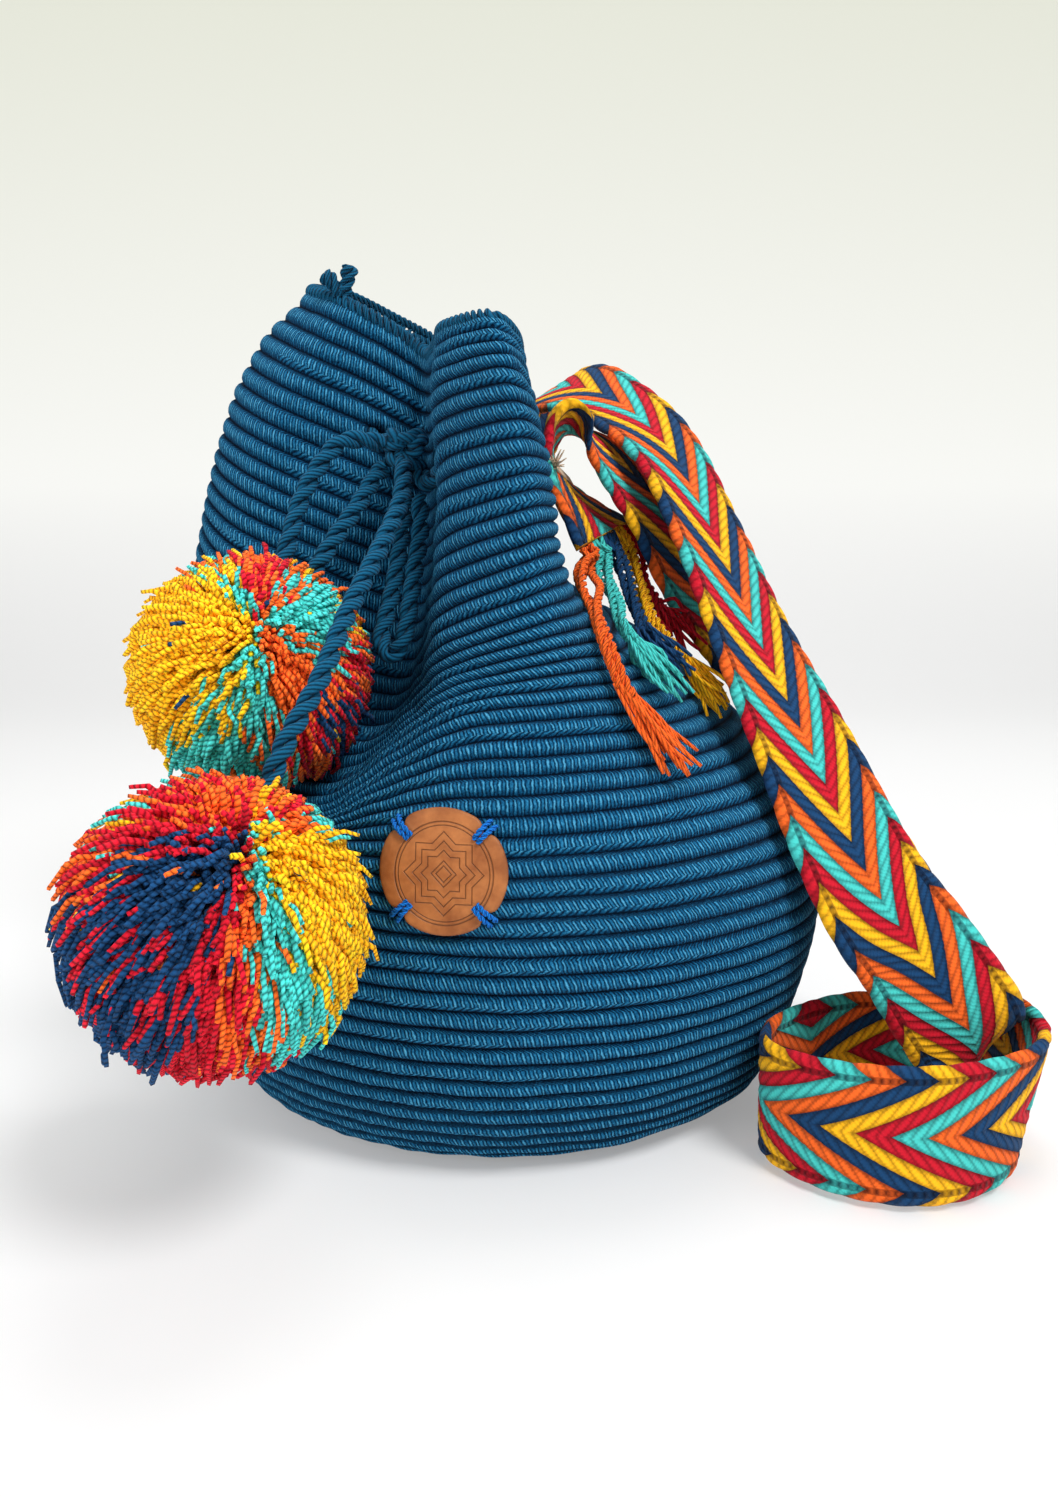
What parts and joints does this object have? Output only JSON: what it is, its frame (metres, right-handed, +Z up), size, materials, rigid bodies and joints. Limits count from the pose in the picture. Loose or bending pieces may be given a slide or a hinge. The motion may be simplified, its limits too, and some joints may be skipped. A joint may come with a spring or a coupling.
{
  "type": "wayuu mochila bag",
  "caption": "Soft crocheted bucket bag with a drawstring neck, yarn pompoms on the cord ends, a round leather patch and a wide woven chevron shoulder strap.",
  "frame": {"origin": "centre of the flat base, on the surface the bag stands on", "axes": "+Z up through the bag, -Y towards the front with the leather patch, +X towards the side where the strap lies"},
  "size_m": [0.331, 0.3083, 0.3268],
  "materials": {
    "wool_teal": "matte",
    "cord_navy": "matte",
    "leather": "satin",
    "thread_blue": "matte",
    "thread_beige": "matte",
    "yarn_orange": "matte",
    "yarn_turquoise": "matte",
    "yarn_yellow": "matte",
    "yarn_crimson": "matte",
    "yarn_navy": "matte",
    "strap_weave": "matte",
    "pompom_yarn_front": "matte",
    "pompom_yarn_back": "matte"
  },
  "bodies": {
    "root": {"bag_body": "wool_teal", "drawstring_neck": "cord_navy", "drawstring_knot": "cord_navy", "drawstring_end_front": "cord_navy", "drawstring_end_back": "cord_navy", "drawstring_return": "cord_navy", "drawstring_loop": "cord_navy", "pompom_front": "pompom_yarn_front", "pompom_back": "pompom_yarn_back", "leather_patch": "leather", "patch_stitch_1": "thread_blue", "patch_stitch_2": "thread_blue", "patch_stitch_3": "thread_blue", "patch_stitch_4": "thread_blue", "shoulder_strap": "strap_weave", "strap_seam_near": "thread_beige", "strap_seam_far": "thread_beige", "rim_knot": "wool_teal", "tassel_near_orange": "yarn_orange", "tassel_near_turquoise": "yarn_turquoise", "tassel_near_yellow": "yarn_yellow", "tassel_near_crimson": "yarn_crimson", "tassel_near_navy": "yarn_navy", "tassel_far_orange": "yarn_orange", "tassel_far_turquoise": "yarn_turquoise", "tassel_far_yellow": "yarn_yellow", "tassel_far_crimson": "yarn_crimson", "tassel_far_navy": "yarn_navy"}
  },
  "joints": []
}
